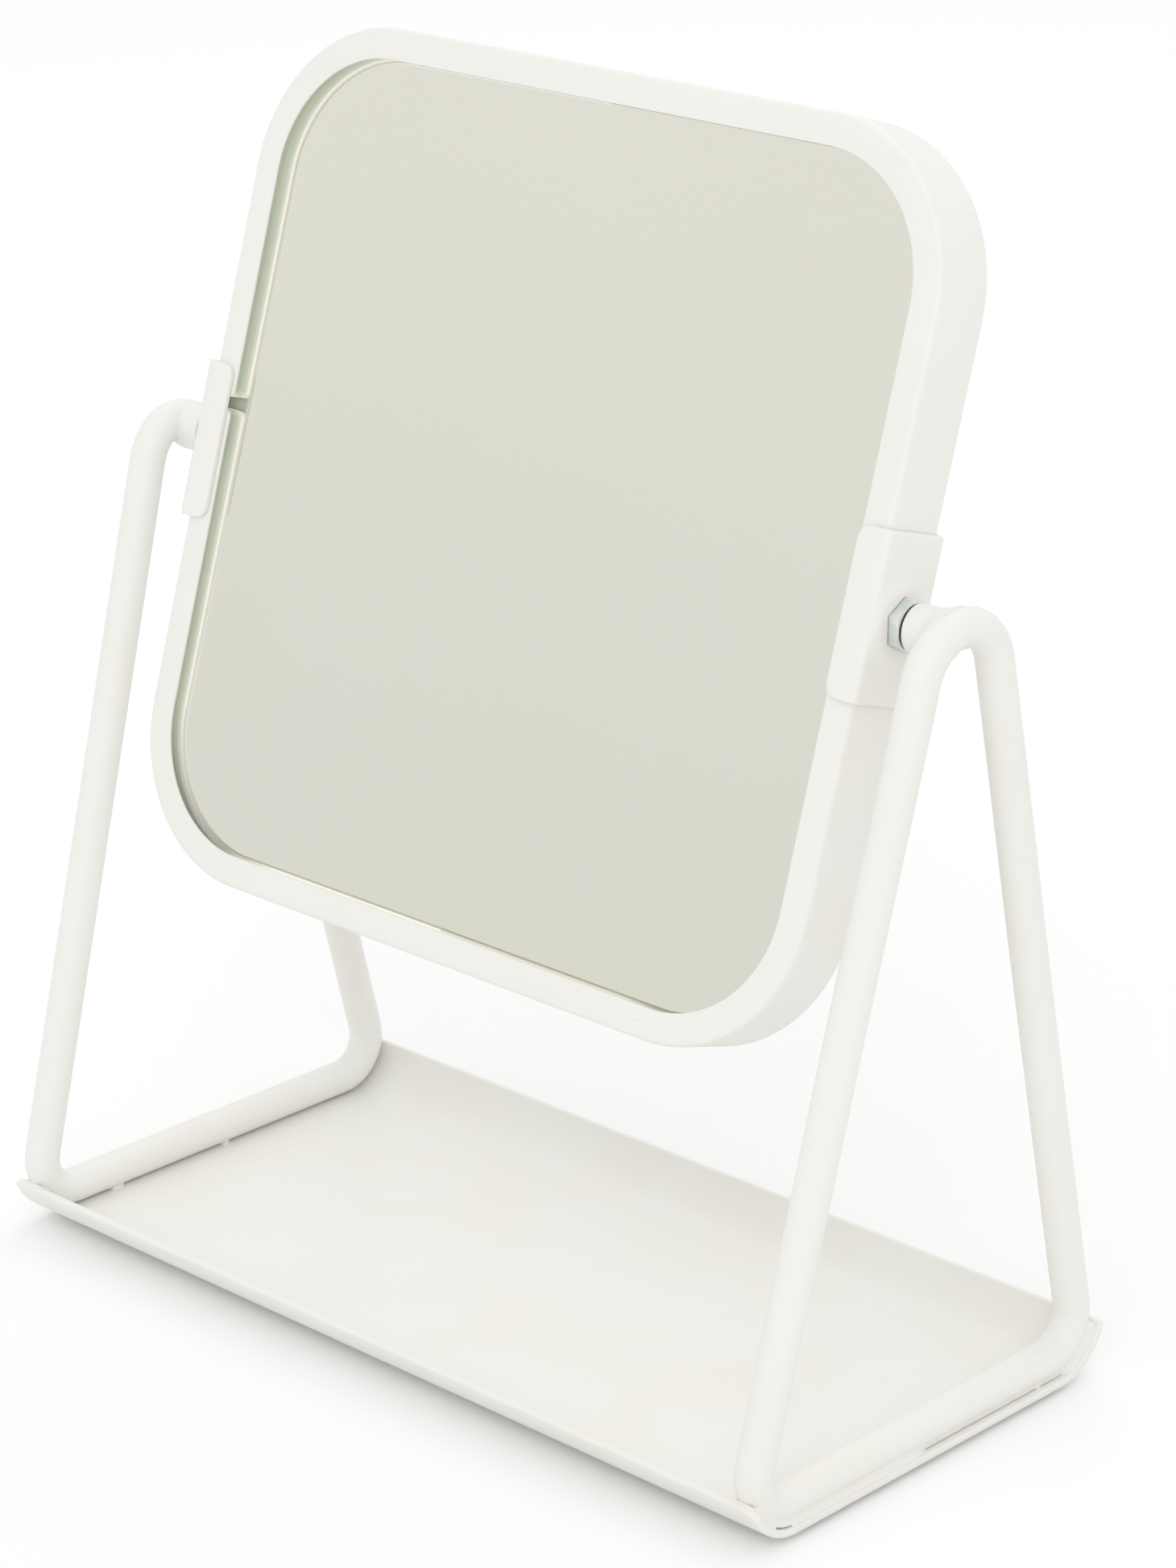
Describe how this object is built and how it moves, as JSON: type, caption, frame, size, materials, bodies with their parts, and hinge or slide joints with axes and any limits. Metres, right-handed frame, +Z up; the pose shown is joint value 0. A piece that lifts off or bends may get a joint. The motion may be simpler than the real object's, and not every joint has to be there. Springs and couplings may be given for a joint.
{
  "type": "countertop swivel mirror",
  "caption": "Rounded-square mirror in a white metal frame, swivelling between two triangular rod loops on a flat base plate with upturned edges.",
  "frame": {"origin": "middle of the base's footprint, on the surface that the foot pads stand on", "axes": "+Z up, the mirror's front towards -Y, +X to the right seen from the front"},
  "size_m": [0.231, 0.1158, 0.2745],
  "materials": {
    "powder_white": "semi-gloss powder coat",
    "mirror_glass": "silvered glass",
    "board": "plain hardboard",
    "zinc": "zinc plated",
    "black_nylon": "matt",
    "foot_rubber": "matt"
  },
  "bodies": {
    "stand": {"base_plate": "powder_white", "foot_pads": "foot_rubber", "left_side_loop": "powder_white", "right_side_loop": "powder_white", "left_welds": "powder_white", "right_welds": "powder_white", "left_pivot_boss": "powder_white", "right_pivot_boss": "powder_white", "left_boss_weld": "powder_white", "right_boss_weld": "powder_white"},
    "mirror": {"mirror_frame": "powder_white", "front_mirror_glass": "mirror_glass", "core_board": "board", "rear_mirror_glass": "mirror_glass", "left_bracket": "powder_white", "right_bracket": "powder_white", "left_pivot_stud": "zinc", "right_pivot_stud": "zinc", "left_lock_nut": "zinc", "right_lock_nut": "zinc", "left_friction_washer": "black_nylon", "right_friction_washer": "black_nylon"}
  },
  "joints": [
    {"name": "mirror_tilt", "type": "hinge", "parent": "stand", "child": "mirror", "pos_m": [0, -0.00153, 0.18097], "axis": [1, 0, 0], "continuous": true}
  ]
}
